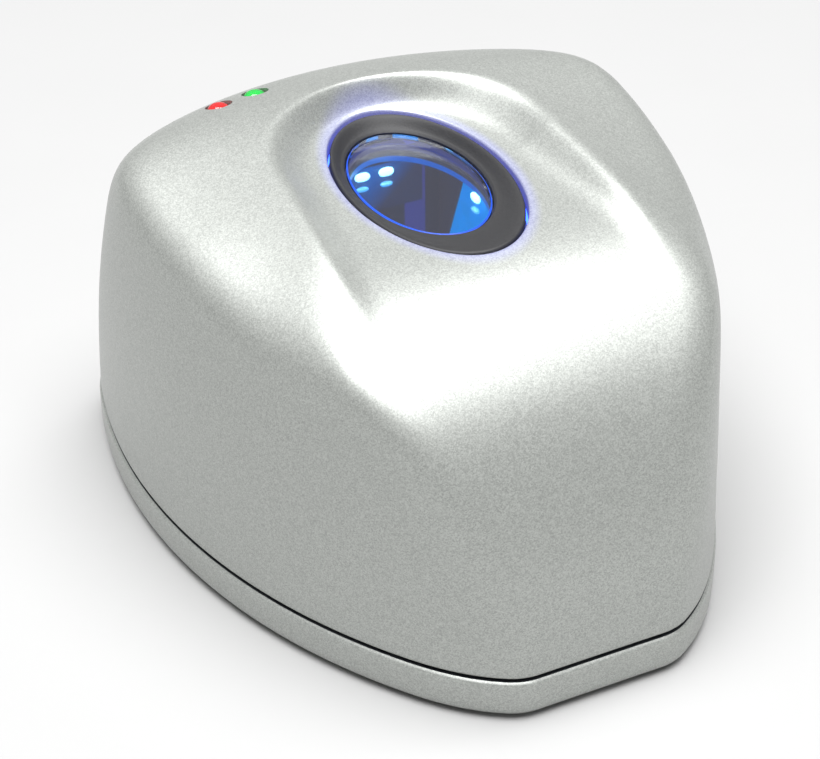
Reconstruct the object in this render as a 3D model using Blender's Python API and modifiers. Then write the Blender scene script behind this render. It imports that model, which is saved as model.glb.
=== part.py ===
"""Desktop fingerprint scanner terminal.

A silver two-part casing, narrow at the front and wide at the back, carries an
oval window in a finger scoop. Under the window sit the illumination boards and
a camera on the main board. Lengths are in millimetres and become metres when a
mesh is made. The origin is the middle of the resting plane: +X right, -Y
towards the user, +Z up.
"""

import math

import bmesh
import bpy
import numpy as np
from mathutils import Vector

MM = 0.001
GAP = 0.3

# Plan outline, one half: front flat, nose arc, cheek arc, side arc, rear arc.
HALF_LENGTH = 49.7
FRONT_FLAT = 8.9
NOSE_R = 7.7
NOSE_TURN = math.radians(30.8)
CHEEK_R = 31.7
CHEEK_TURN = math.radians(53.3)
SIDE_R = 87.4
REAR_R = 75.6
REAR_CORNER_LOW = 6.0
REAR_CORNER_HIGH = 16.0

# Heights of the casing.
BASE_BOTTOM = 0.6
BASE_TOP = 6.1
PART_Z = 6.6
PLATE_TOP = 2.8
WALL = 2.2

# Walls lean in as they rise, and more so above UPPER_FROM on the rear half.
SIDE_DRAFT = math.tan(math.radians(1.4))
UPPER_LEAN, UPPER_FROM, UPPER_FADE = 0.0009, 16.0, 30.0
REAR_DRAFT = 0.30
FLANK_LEAN = 0.03
FLANK_Z, FLANK_RISE, FLANK_BOW = 42.6, 0.57, 0.0035
FLANK_BLEND = 1.5
RIDGE_BLEND = 6.0

# Steep front plane, and the bend plane above it.
FRONT_Y, FRONT_Z, FRONT_SLOPE = -41.4, 34.3, 2.09
BEND_Y, BEND_Z, BEND_SLOPE = -31.1, 44.1, 0.56
BEND_BLEND = 5.5
FRONT_BLEND = 8.0

# Shoulders beside the scoop.
SHOULDER_Z, SHOULDER_RISE, SHOULDER_X = 53.1, 0.08, 20.4
FALL, FALL_TAPER, FALL_CURVE = 0.295, -0.0075, 0.0005
SHOULDER_ROUND = 6.0

# Rear slopes, as height at a distance inside the rear arc, and slope there.
REAR_SLOPES = ((55.0, 29.2, 0.13), (51.3, 16.7, 0.36), (47.6, 12.5, 1.3))
REAR_BLENDS = (3.0, 6.0)
REAR_EDGE_BLEND = 3.0

# Finger scoop.
SCOOP_Z, SCOOP_RISE = 49.7, 0.047
SCOOP_HALF_WIDTH, SCOOP_FLARE = 14.9, 0.16
SCOOP_REAR, SCOOP_MID = 19.5, 1.0
SCOOP_SIDE_SLOPE, SCOOP_REAR_SLOPE = 0.85, 2.8
SCOOP_SIDE_FOOT, SCOOP_REAR_FOOT = 3.0, 1.2
SCOOP_EDGE_BLEND = 2.2

# Window stack, measured from the scoop floor along its tilted normal.
# The glass sits further back than the bezel round it, by GLASS_SHIFT.
WINDOW_Y, WINDOW_Z = -0.05, 49.7
WINDOW_PITCH = math.radians(2.7)
GLASS_SHIFT = 2.2
SEAT = (11.4, 18.8)
RING_OUTER, RING_INNER = (12.7, 20.1), (11.4, 18.8)
RING_TOP, RING_BOTTOM = -2.75, -3.6
BEZEL_OUTER, BEZEL_CREST, BEZEL_LIP = (11.05, 18.45), (10.7, 18.1), (9.05, 13.9)
CREST_LIFT = -0.3
BEZEL_INNER, BEZEL_REBATE = (8.75, 13.6), (9.4, 14.25)
BEZEL_BOTTOM, REBATE_TOP, LIP_LIFT = -3.5, -2.4, -1.6
GASKET_OUTER, GASKET_INNER = (9.15, 14.0), (8.78, 13.63)
GASKET_TOP, GASKET_BOTTOM = -2.6, -3.7
GLASS_SIZE = (8.5, 13.35)
GLASS_TOP, GLASS_BOTTOM = -1.9, -3.75

# Optics chassis and illumination.
CHASSIS_X, CHASSIS_FRONT, CHASSIS_REAR = 11.6, -14.5, 18.1
CHASSIS_BOTTOM, CHASSIS_WAIST, CHASSIS_TOP = 11.0, 18.5, 45.0
CHASSIS_WALL, CHASSIS_LID = 1.5, 0.9
LID_OPENING = (8.3, 13.2)
LIGHT_BOARD_T = 0.8
REAR_BOARD_HALF_WIDTH, REAR_BOARD_LOW = 6.5, 36.5
SIDE_BOARD_FRONT, SIDE_BOARD_LOW = -12.0, 28.0
SIDE_BOARD_REAR_TOP, SIDE_BOARD_REAR_LOW = 6.7, 12.8
COLLAR_OUTER, COLLAR_BOTTOM = (8.75, 13.65), 43.3
REAR_BOARD_FACE = 14.6
LED_ROWS = ((42.6, (2.2, 0.8, 1.2)), (40.7, (1.8, 0.8, 0.6)))
REAR_LED_X, SIDE_LED_Y = (-2.9, 0.7), 2.0
CAMERA = (0.0, 2.0)
CAMERA_HOLE_R = 7.2
SLOT_LOW, SLOT_HIGH = 36.9, 39.4

# Main board, its standoffs and screws.
BOARD_Z, BOARD_T = 9.0, 1.6
BOARD_HALF_WIDTH, BOARD_FRONT, BOARD_REAR = 25.0, -25.0, 41.0
STANDOFF_R = 2.6
BOARD_SCREWS = ((21, -20), (-21, -20), (21, 36), (-21, 36))
HOUSING_SCREWS = ((21.5, -28.5), (-21.5, -28.5), (31, 24), (-31, 24))
FEET = ((15, -34), (-15, -34), (22, 38), (-22, 38))
FOOT_R = 4.5
BOSS_R = 3.0
RIB_R = 2.3
RIB_REACH = 3.2
BOSS_TOP = 24.0

# Status lights behind the scoop, each in a round well cut straight down.
STATUS = {"red": (-18.4, 26.3), "green": (-12.7, 27.2)}
STATUS_WELL_R, STATUS_LENS_R = 1.9, 1.6
STATUS_DOME = 0.2
STATUS_BOARD = ((-21.5, 20.5), (-9.5, 30.5))
STATUS_BOARD_Z = 42.5
STATUS_POST = (-15.2, 22.6)

# USB socket in the rear wall.
USB_WIDTH, USB_HEIGHT, USB_FRONT, USB_MOUTH = 7.7, 4.0, 37.5, 46.7
USB_WALL = 0.4

AROUND = 60
CORNER_WEIGHT = 20.0
WALL_ROWS, FAN_ROWS, TOP_ROWS = 5, 7, 8
WALL_TOP = 30.0
RIM_TRIM = 1.5
INNER_SCALE = 0.72


# ---------------------------------------------------------------- scene

def clear_scene():
    for found in list(bpy.data.objects):
        bpy.data.objects.remove(found, do_unlink=True)


def new_collection(name):
    made = bpy.data.collections.new(name)
    bpy.context.scene.collection.children.link(made)
    return made


def material(name, color, roughness, metallic=0.0, alpha=1.0):
    made = bpy.data.materials.new(name)
    made.use_nodes = True
    shader = made.node_tree.nodes["Principled BSDF"]
    shader.inputs["Base Color"].default_value = (*color, 1.0)
    shader.inputs["Roughness"].default_value = roughness
    shader.inputs["Metallic"].default_value = metallic
    shader.inputs["Alpha"].default_value = alpha
    return made


clear_scene()
PARTS = new_collection("fingerprint_scanner")
CUTTERS = new_collection("cutters")
SILVER = material("silver_paint", (0.60, 0.62, 0.60), 0.35, 0.7)
BLACK = material("black_plastic", (0.02, 0.02, 0.02), 0.6)
LIGHT = material("blue_light_guide", (0.05, 0.2, 0.9), 0.3)
GLASS = material("platen_glass", (0.1, 0.2, 0.4), 0.05, alpha=0.4)
RUBBER = material("black_rubber", (0.02, 0.02, 0.02), 0.8)
BOARD = material("green_board", (0.02, 0.16, 0.06), 0.5)
CHIP = material("chip_resin", (0.015, 0.015, 0.017), 0.5)
STEEL = material("zinc_steel", (0.6, 0.6, 0.6), 0.3, 1.0)
LED = material("led_resin", (0.3, 0.5, 0.9), 0.2)
RED = material("red_lens", (0.6, 0.05, 0.03), 0.15)
GREEN = material("green_lens", (0.05, 0.5, 0.08), 0.15)
FILM = material("cable_film", (0.75, 0.6, 0.35), 0.4)
LABEL = material("label_film", (0.75, 0.75, 0.75), 0.5)


# ---------------------------------------------------------------- blending

def union_blend(a, b, radius):
    """Larger of two fields, rounded where they meet."""
    near = np.maximum(radius - abs(a - b), 0) / radius
    return np.maximum(a, b) + near ** 3 * radius / 6


def lower_blend(a, b, radius):
    """Smaller of two fields, rounded where they meet."""
    return -union_blend(-a, -b, radius)


# ---------------------------------------------------------------- casing form

def plan_arcs():
    """Centres and start points of the nose, cheek and side arcs on the right half."""
    nose = (FRONT_FLAT, -HALF_LENGTH + NOSE_R)
    first = (nose[0] + NOSE_R * math.sin(NOSE_TURN), nose[1] - NOSE_R * math.cos(NOSE_TURN))
    cheek = (first[0] - CHEEK_R * math.sin(NOSE_TURN), first[1] + CHEEK_R * math.cos(NOSE_TURN))
    second = (cheek[0] + CHEEK_R * math.sin(CHEEK_TURN), cheek[1] - CHEEK_R * math.cos(CHEEK_TURN))
    side = (second[0] - SIDE_R * math.sin(CHEEK_TURN), second[1] + SIDE_R * math.cos(CHEEK_TURN))
    return nose, first, cheek, second, side


NOSE, NOSE_END, CHEEK, CHEEK_END, SIDE = plan_arcs()


def front_and_sides(ax, y):
    """Signed distance outside the front flat, nose, cheek and side arcs."""
    def before(point, turn):
        return (ax - point[0]) * math.cos(turn) + (y - point[1]) * math.sin(turn) < 0

    nose = np.hypot(ax - NOSE[0], y - NOSE[1]) - NOSE_R
    cheek = np.hypot(ax - CHEEK[0], y - CHEEK[1]) - CHEEK_R
    side = np.hypot(ax - SIDE[0], y - SIDE[1]) - SIDE_R
    found = np.where(before(CHEEK_END, CHEEK_TURN), cheek, side)
    found = np.where(before(NOSE_END, NOSE_TURN), nose, found)
    return np.where(ax < FRONT_FLAT, -HALF_LENGTH - y, found)


def inside_rear(x, y):
    """Distance inside the rear arc."""
    return REAR_R - np.hypot(x, y - HALF_LENGTH + REAR_R)


def walls(x, y, z):
    """Field of the upright walls: negative inside."""
    ax = np.sqrt(x * x + 1e-4)
    rise = z - PART_Z
    corner = REAR_CORNER_LOW + (REAR_CORNER_HIGH - REAR_CORNER_LOW) * np.clip(rise / 45, 0, 1) ** 2
    rearward = np.clip(y / UPPER_FADE + 1, 0, 1)
    lean = SIDE_DRAFT * rise + UPPER_LEAN * np.maximum(rise - UPPER_FROM, 0) ** 2 * rearward
    upright = front_and_sides(ax, y) + lean
    upright = union_blend(upright, REAR_DRAFT * rise - inside_rear(x, y), corner)
    flank_z = FLANK_Z + FLANK_RISE * y - FLANK_BOW * y * y
    flank = np.hypot(ax - SIDE[0], y - SIDE[1]) - SIDE_R + FLANK_LEAN * (z - flank_z)
    return union_blend(upright, flank + lean, FLANK_BLEND)


def scoop_bowl(ax, y):
    """Height of the scoop's walls above its floor."""
    half_width = SCOOP_HALF_WIDTH + np.maximum(1 - y, 0) * SCOOP_FLARE
    across = ax / half_width
    behind = np.maximum(y - SCOOP_MID, 0)
    along = behind / (SCOOP_REAR - SCOOP_MID)
    ratio = np.sqrt(across ** 2 + along ** 2 + 1e-6)
    outside = (ratio - 1) * np.hypot(ax, behind) / ratio
    rearward = (along / ratio) ** 3
    slope = SCOOP_SIDE_SLOPE + (SCOOP_REAR_SLOPE - SCOOP_SIDE_SLOPE) * rearward
    foot = SCOOP_SIDE_FOOT + (SCOOP_REAR_FOOT - SCOOP_SIDE_FOOT) * rearward
    return slope * union_blend(outside, 0 * outside, foot)


def top_height(x, y):
    """Height of the upper surface: shoulders, rear slope, front bend and scoop."""
    ax = np.sqrt(x * x + 1e-4)
    bend = BEND_Z + BEND_SLOPE * (y - BEND_Y)
    fall = FALL + FALL_TAPER * y + FALL_CURVE * np.minimum(y, 0) ** 2
    shoulder = SHOULDER_Z + SHOULDER_RISE * y - fall * (np.hypot(ax, SHOULDER_ROUND) - SHOULDER_X)
    depth = inside_rear(x, y)
    slopes = [z - slope * (at - depth) for z, at, slope in REAR_SLOPES]
    rear = lower_blend(lower_blend(slopes[0], slopes[1], REAR_BLENDS[0]), slopes[2], REAR_BLENDS[1])
    crown = lower_blend(shoulder, rear, REAR_EDGE_BLEND)
    scoop = SCOOP_Z + SCOOP_RISE * y + scoop_bowl(ax, y)
    return lower_blend(lower_blend(crown, scoop, SCOOP_EDGE_BLEND), bend, BEND_BLEND)


def height_near(place, radius):
    """Lowest point of the upper surface on a circle round place."""
    turn = np.linspace(0, 2 * math.pi, 12)
    return float(top_height(place[0] + radius * np.cos(turn), place[1] + radius * np.sin(turn)).min())


def casing(x, y, z):
    """Field of the whole casing above the parting line: negative inside."""
    lean = (z - FRONT_Z - FRONT_SLOPE * (y - FRONT_Y)) / math.hypot(1, FRONT_SLOPE)
    top = union_blend((z - top_height(x, y)) * 0.88, lean, FRONT_BLEND)
    return union_blend(top, walls(x, y, z), RIDGE_BLEND)


def surface_along(field, start, direction, reach=90.0, steps=180):
    """Where rays that start inside a field leave it."""
    def at(t):
        return field(*(start + direction * t[:, None]).T)

    t = np.zeros(len(start))
    found = np.zeros(len(start), bool)
    step = reach / steps
    for _ in range(steps):
        found |= at(t + step) > 0
        t = np.where(found, t, t + step)
    low, high = t, t + step
    for _ in range(24):
        middle = (low + high) / 2
        outside = at(middle) > 0
        high = np.where(outside, middle, high)
        low = np.where(outside, low, middle)
    return start + direction * ((low + high) / 2)[:, None]


def plan_directions(count):
    """Unit directions from the middle, closer together where the outline turns."""
    angle = np.linspace(-math.pi / 2, math.pi * 1.5, 1441)
    rays = np.column_stack([np.cos(angle), np.sin(angle), 0 * angle])
    start = np.zeros_like(rays) + (0, 0, PART_Z)
    points = surface_along(walls, start, rays)
    step = np.diff(points[:, :2], axis=0)
    heading = np.unwrap(np.arctan2(step[:, 1], step[:, 0]))
    turning = abs(np.gradient(heading))
    weight = np.hypot(*step.T) + CORNER_WEIGHT * turning
    run = np.concatenate([[0], np.cumsum(weight)])
    chosen = np.interp(np.arange(count) * run[-1] / count, run, angle)
    return np.column_stack([np.cos(chosen), np.sin(chosen), 0 * chosen])


DIRECTIONS = plan_directions(AROUND)


def plan_ring(inset, z):
    """The plan outline, moved inwards by inset, at height z."""
    def field(x, y, _):
        return walls(x, y, PART_Z + 0 * x) + inset

    ring = surface_along(field, np.zeros_like(DIRECTIONS), DIRECTIONS)
    ring[:, 2] = z
    return ring


def ellipse_ring(size, lift, count, shift=0.0):
    """An oval in the window's plane, lifted along its normal and shifted back."""
    angle = np.arange(count) * 2 * math.pi / count - math.pi / 2
    along = size[1] * np.sin(angle) + shift
    return np.column_stack([
        size[0] * np.cos(angle),
        WINDOW_Y + along * math.cos(WINDOW_PITCH) - lift * math.sin(WINDOW_PITCH),
        WINDOW_Z + along * math.sin(WINDOW_PITCH) + lift * math.cos(WINDOW_PITCH),
    ])


def skin_rows():
    """Rows of points on the upper housing, from its lower edge to the window seat."""
    outline = plan_ring(0, PART_Z)
    inner = outline * (INNER_SCALE, INNER_SCALE, 0)
    rows = []
    for z in np.linspace(PART_Z - RIM_TRIM, WALL_TOP, WALL_ROWS, endpoint=False):
        rows.append(surface_along(casing, inner + (0, 0, z), DIRECTIONS))
    for turn in np.linspace(0, math.pi / 2, FAN_ROWS, endpoint=False):
        rays = DIRECTIONS * math.cos(turn) + np.array((0, 0, math.sin(turn)))
        rows.append(surface_along(casing, inner + (0, 0, WALL_TOP), rays))
    seat = np.arctan2(outline[:, 1] / HALF_LENGTH, outline[:, 0] / outline[:, 0].max())
    seat = np.column_stack([SEAT[0] * np.cos(seat), WINDOW_Y + SEAT[1] * np.sin(seat), 0 * seat])
    up = np.zeros_like(DIRECTIONS) + (0, 0, 1)
    for part in np.linspace(0, 1, TOP_ROWS):
        start = inner * (1 - part) + seat * part + (0, 0, WALL_TOP)
        rows.append(surface_along(casing, start, up))
    return rows


# ---------------------------------------------------------------- mesh makers

def finish(name, mesh, look, smooth=35):
    made = bpy.data.objects.new(name, mesh)
    if look is None:
        CUTTERS.objects.link(made)
        made.hide_render = True
        made.display_type = "WIRE"
        return made
    PARTS.objects.link(made)
    mesh.materials.append(look)
    mesh.shade_smooth()
    mesh.set_sharp_from_angle(angle=math.radians(smooth))
    return made


def loft(name, rings, look, closed=False, caps=True):
    """Quads between rings of equal length; closed joins the last ring to the first."""
    mesh = bpy.data.meshes.new(name)
    bm = bmesh.new()
    loops = [[bm.verts.new(Vector(point) * MM) for point in ring] for ring in rings]
    pairs = list(zip(loops, loops[1:] + loops[:1] if closed else loops[1:]))
    for low, high in pairs:
        for i in range(len(low)):
            j = (i + 1) % len(low)
            bm.faces.new((low[i], low[j], high[j], high[i]))
    if caps and not closed:
        bm.faces.new(loops[0])
        bm.faces.new(loops[-1])
    if caps or closed:
        bmesh.ops.recalc_face_normals(bm, faces=bm.faces)
    bm.to_mesh(mesh)
    bm.free()
    return finish(name, mesh, look)


def box(name, low, high, look, bevel=0.0):
    low, high = Vector(low), Vector(high)
    mesh = bpy.data.meshes.new(name)
    bm = bmesh.new()
    bmesh.ops.create_cube(bm, size=MM)
    bmesh.ops.scale(bm, vec=high - low, verts=bm.verts)
    bm.to_mesh(mesh)
    bm.free()
    made = finish(name, mesh, look)
    made.location = (low + high) / 2 * MM
    if bevel:
        rounded = made.modifiers.new("edges", "BEVEL")
        rounded.width = bevel * MM
        rounded.segments = 1
    return made


def rod(name, place, radius, bottom, top, look, sides=24):
    """A round solid standing at place."""
    mesh = bpy.data.meshes.new(name)
    bm = bmesh.new()
    bmesh.ops.create_cone(bm, cap_ends=True, segments=sides, radius1=radius * MM,
                          radius2=radius * MM, depth=(top - bottom) * MM)
    bm.to_mesh(mesh)
    bm.free()
    made = finish(name, mesh, look)
    made.location = Vector((place[0], place[1], (bottom + top) / 2)) * MM
    return made


def turned(name, place, profile, look, steps=24):
    """A turned solid: the profile's (radius, height) points run down its outer side."""
    mesh = bpy.data.meshes.new(name)
    bm = bmesh.new()
    points = [bm.verts.new((radius * MM, 0, z * MM)) for radius, z in profile]
    ends = list(zip(points, points[1:]))
    if profile[0][0] > 0:
        ends.append((points[-1], points[0]))
    for first, second in ends:
        bm.edges.new((first, second))
    bm.to_mesh(mesh)
    bm.free()
    made = finish(name, mesh, look)
    made.location = Vector((place[0], place[1], 0)) * MM
    screw = made.modifiers.new("turn", "SCREW")
    screw.steps = screw.render_steps = steps
    screw.use_merge_vertices = True
    screw.merge_threshold = 0.00001
    return made


def ribbon(name, points, width, look):
    """A flat cable along a smooth path in an upright plane, its width along X."""
    path = np.array(smooth_path(points))
    run = np.gradient(path, axis=0)
    across = np.column_stack([0 * run[:, 0], -run[:, 2], run[:, 1]])
    across *= 0.16 / np.linalg.norm(across, axis=1)[:, None]
    side = np.array((width / 2, 0, 0))
    rings = [(p - side - n, p + side - n, p + side + n, p - side + n) for p, n in zip(path, across)]
    loft(name, rings, look)


def smooth_path(points, per_span=3):
    """A Catmull-Rom curve through the given points."""
    points = np.array(points, float)
    padded = np.vstack([2 * points[0] - points[1], points, 2 * points[-1] - points[-2]])
    path = []
    for a, b, c, d in zip(padded, padded[1:], padded[2:], padded[3:]):
        for t in np.arange(per_span) / per_span:
            path.append(0.5 * (2 * b + (c - a) * t + (2 * a - 5 * b + 4 * c - d) * t ** 2
                               + (3 * b - a - 3 * c + d) * t ** 3))
    path.append(points[-1])
    return path


def boolean(target, tool, operation):
    change = target.modifiers.new(tool.name, "BOOLEAN")
    change.operation = operation
    change.object = tool


def cut(target, tool):
    boolean(target, tool, "DIFFERENCE")


def join(target, tool):
    boolean(target, tool, "UNION")


# ---------------------------------------------------------------- casing

def towards_wall(place, reach):
    """A point moved from place straight out towards the nearest side wall."""
    side = math.copysign(1, place[0])
    out = Vector((abs(place[0]) - SIDE[0], place[1] - SIDE[1])).normalized() * reach
    return place[0] + side * out.x, place[1] + out.y


def upper_housing():
    housing = loft("upper_housing", skin_rows(), SILVER, caps=False)
    shell = housing.modifiers.new("wall", "SOLIDIFY")
    shell.thickness = WALL * MM
    shell.offset = -1
    shell.use_even_offset = True
    cut(housing, box("parting_plane", (-60, -60, 0), (60, 60, PART_Z), None))
    for number, place in enumerate(HOUSING_SCREWS, 1):
        join(housing, rod(f"boss_{number}", place, BOSS_R, PART_Z + 0.1, BOSS_TOP, None, 16))
        beside = towards_wall(place, RIB_REACH)
        join(housing, rod(f"rib_{number}", beside, RIB_R, 9.2, BOSS_TOP - 1, None, 12))
    above = height_near(STATUS_POST, 1.9)
    join(housing, rod("status_post", STATUS_POST, 1.9, 43.8, above - 0.8, None, 16))
    for number, place in enumerate(HOUSING_SCREWS, 1):
        cut(housing, rod(f"boss_bore_{number}", place, 1.7, 5.0, BOSS_TOP - 4, None, 12))
    cut(housing, rod("status_post_bore", STATUS_POST, 1.1, 42.0, 48.0, None, 12))
    for color, place in STATUS.items():
        cut(housing, rod(f"{color}_well", place, STATUS_WELL_R, 40.0, 60.0, None, 20))
    half, low = USB_WIDTH / 2 + 0.9, BOARD_Z + BOARD_T + GAP
    cut(housing, box("usb_slot", (-half, 43.0, low - 0.8), (half, 56.0, low + USB_HEIGHT + 0.8), None))


def base_housing():
    outer = ((1.2, 0.0), (0.35, 0.15), (-0.1, 0.7), (-0.25, 1.5), (-0.25, 5.2), (0.15, 5.5))
    rings = [plan_ring(inset, BASE_BOTTOM + rise) for inset, rise in outer]
    tongue = ((3.3, BASE_TOP), (3.3, 8.6), (4.3, 8.6), (4.3, PLATE_TOP))
    rings += [plan_ring(inset, z) for inset, z in tongue]
    base = loft("base_housing", rings, SILVER)
    for number, place in enumerate(HOUSING_SCREWS, 1):
        join(base, rod(f"pillar_{number}", place, 3.9, 1.6, PART_Z - 0.3, None, 16))
        cut(base, rod(f"tongue_notch_{number}", place, BOSS_R + 0.5, PART_Z - 0.3, 12, None, 16))
        cut(base, rod(f"screw_hole_{number}", place, 1.7, 0, 10, None, 12))
        cut(base, rod(f"screw_counterbore_{number}", place, 3.0, 0, 3.6, None, 16))
    for number, place in enumerate(BOARD_SCREWS, 1):
        join(base, rod(f"standoff_{number}", place, STANDOFF_R, 2.2, BOARD_Z - GAP, None, 16))
        cut(base, rod(f"standoff_bore_{number}", place, 1.1, 3.6, 10, None, 12))
    for number, place in enumerate(FEET, 1):
        cut(base, rod(f"foot_recess_{number}", place, FOOT_R + GAP, 0, 1.6, None, 20))
    cut(base, box("label_recess", (-17.5, -12.5, 0), (17.5, 12.5, BASE_BOTTOM + 0.7), None))


def base_hardware():
    for number, place in enumerate(FEET, 1):
        foot = ((0, 0), (FOOT_R - 0.5, 0), (FOOT_R, 0.5), (FOOT_R, 1.3), (0, 1.3))
        turned(f"rubber_foot_{number}", place, foot[::-1], RUBBER, 20)
    head = ((0, 18.0), (1.35, 16.6), (1.35, 3.3), (2.7, 3.3), (2.7, 1.6), (2.2, 1.3), (0, 1.3))
    for number, place in enumerate(HOUSING_SCREWS, 1):
        turned(f"housing_screw_{number}", place, head, STEEL, 12)
    top = BOARD_Z + BOARD_T + GAP
    head = ((0, top + 1.3), (1.7, top + 1.0), (2.0, top), (0.8, top), (0.8, 4.2), (0, 3.9))
    for number, place in enumerate(BOARD_SCREWS, 1):
        turned(f"board_screw_{number}", place, head, STEEL, 10)
    box("ballast_plate", (-16.5, -30, PLATE_TOP + GAP), (16.5, 30, PLATE_TOP + 2.3), STEEL, 0.3)
    box("rating_label", (-17, -12, BASE_BOTTOM + 0.2), (17, 12, BASE_BOTTOM + 0.4), LABEL)


# ---------------------------------------------------------------- window

def window_stack():
    def band(name, profile, look, count):
        rings = [ellipse_ring(size, lift, count, shift) for size, lift, shift in profile]
        loft(name, rings, look, closed=True)

    band("light_ring", ((RING_OUTER, RING_TOP, 0), (RING_OUTER, RING_BOTTOM, 0),
                        (RING_INNER, RING_BOTTOM, 0), (RING_INNER, RING_TOP, 0)), LIGHT, 48)
    band("window_bezel", (
        (BEZEL_CREST, CREST_LIFT, 0), (BEZEL_OUTER, CREST_LIFT - 0.3, 0), (BEZEL_OUTER, BEZEL_BOTTOM, 0),
        (BEZEL_REBATE, BEZEL_BOTTOM, GLASS_SHIFT), (BEZEL_REBATE, REBATE_TOP, GLASS_SHIFT),
        (BEZEL_INNER, REBATE_TOP, GLASS_SHIFT), (BEZEL_INNER, LIP_LIFT - 0.3, GLASS_SHIFT),
        (BEZEL_LIP, LIP_LIFT, GLASS_SHIFT)), BLACK, 48)
    band("platen_gasket", (
        (GASKET_OUTER, GASKET_TOP, GLASS_SHIFT), (GASKET_OUTER, GASKET_BOTTOM, GLASS_SHIFT),
        (GASKET_INNER, GASKET_BOTTOM, GLASS_SHIFT), (GASKET_INNER, GASKET_TOP, GLASS_SHIFT)), RUBBER, 40)
    rim = (GLASS_SIZE[0] - 0.2, GLASS_SIZE[1] - 0.2)
    levels = ((rim, GLASS_BOTTOM), (GLASS_SIZE, GLASS_BOTTOM + 0.2), (GLASS_SIZE, GLASS_TOP - 0.2),
              (rim, GLASS_TOP))
    loft("platen_glass", [ellipse_ring(size, lift, 40, GLASS_SHIFT) for size, lift in levels], GLASS)


# ---------------------------------------------------------------- optics

def optics_chassis():
    chassis = box("optics_chassis", (-CHASSIS_X, CHASSIS_FRONT, CHASSIS_WAIST),
                  (CHASSIS_X, CHASSIS_REAR, CHASSIS_TOP), BLACK)
    join(chassis, rod("camera_well", CAMERA, CAMERA_HOLE_R + 1.3, CHASSIS_BOTTOM, CHASSIS_WAIST + 0.7, None))
    inside = CHASSIS_X - CHASSIS_WALL
    cut(chassis, box("chamber", (-inside, CHASSIS_FRONT + CHASSIS_WALL, CHASSIS_WAIST + CHASSIS_WALL),
                     (inside, CHASSIS_REAR - CHASSIS_WALL, CHASSIS_TOP - CHASSIS_LID), None))
    cut(chassis, rod("camera_hole", CAMERA, CAMERA_HOLE_R, CHASSIS_BOTTOM - 5, CHASSIS_WAIST + 5, None))
    collar = np.array(ellipse_ring(COLLAR_OUTER, 0, 32, GLASS_SHIFT))
    lid = CHASSIS_TOP - CHASSIS_LID / 2
    rings = [np.column_stack([collar[:, :2], np.full(32, z)]) for z in (COLLAR_BOTTOM, lid)]
    join(chassis, loft("lid_collar", rings, None))
    opening = [ellipse_ring(LID_OPENING, lift, 32, GLASS_SHIFT) for lift in (-8.5, 0)]
    cut(chassis, loft("lid_opening", opening, None))
    cut(chassis, box("cable_slot", (-4.2, CHASSIS_REAR - 3, SLOT_LOW),
                     (4.2, CHASSIS_REAR + 2, SLOT_HIGH), None))


def illumination():
    """Three boards on the chamber's walls, with lights in two rows."""
    inside = CHASSIS_X - CHASSIS_WALL
    high = COLLAR_BOTTOM - GAP
    box("rear_light_board", (-REAR_BOARD_HALF_WIDTH, REAR_BOARD_FACE, REAR_BOARD_LOW),
        (REAR_BOARD_HALF_WIDTH, REAR_BOARD_FACE + LIGHT_BOARD_T, high), BOARD)
    places = []
    for z, (wide, deep, tall) in LED_ROWS:
        face = REAR_BOARD_FACE - GAP - deep / 2
        places += [("rear_led", (x, face, z), (wide / 2, deep / 2, tall / 2)) for x in REAR_LED_X]
    for name, side in (("right", 1), ("left", -1)):
        rings = []
        for x in (side * (inside - GAP), side * (inside - GAP - LIGHT_BOARD_T)):
            rings.append(((x, SIDE_BOARD_FRONT, SIDE_BOARD_LOW), (x, SIDE_BOARD_REAR_LOW, SIDE_BOARD_LOW),
                          (x, SIDE_BOARD_REAR_TOP, high), (x, SIDE_BOARD_FRONT, high)))
        loft(f"{name}_light_board", rings, BOARD)
        for z, (wide, deep, tall) in LED_ROWS:
            face = side * (inside - LIGHT_BOARD_T - 2 * GAP - deep / 2)
            places.append((f"{name}_led", (face, SIDE_LED_Y, z), (deep / 2, wide / 2, tall / 2)))
    count = {}
    for name, centre, half in places:
        count[name] = count.get(name, 0) + 1
        centre, half = Vector(centre), Vector(half)
        box(f"{name}_{count[name]}", centre - half, centre + half, LED, 0.12)


def camera():
    x, y = CAMERA
    top = BOARD_Z + BOARD_T + GAP
    box("image_sensor", (x - 3.5, y - 3.5, top), (x + 3.5, y + 3.5, top + 1.1), CHIP)
    turned("lens_holder", CAMERA, ((6.8, 17.5), (6.8, top), (6.25, top), (6.25, 17.5)), BLACK, 20)
    barrel = ((6.0, 25.5), (6.0, 13.5), (3.6, 13.5), (3.6, 22.0), (4.6, 24.0), (4.6, 25.5))
    turned("lens_barrel", CAMERA, barrel, BLACK, 20)
    glass = ((0, 21.4), (1.8, 21.1), (3.3, 20.2), (3.3, 18.2), (0, 17.6))
    turned("camera_lens", CAMERA, glass, GLASS, 20)


# ---------------------------------------------------------------- electronics

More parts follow.
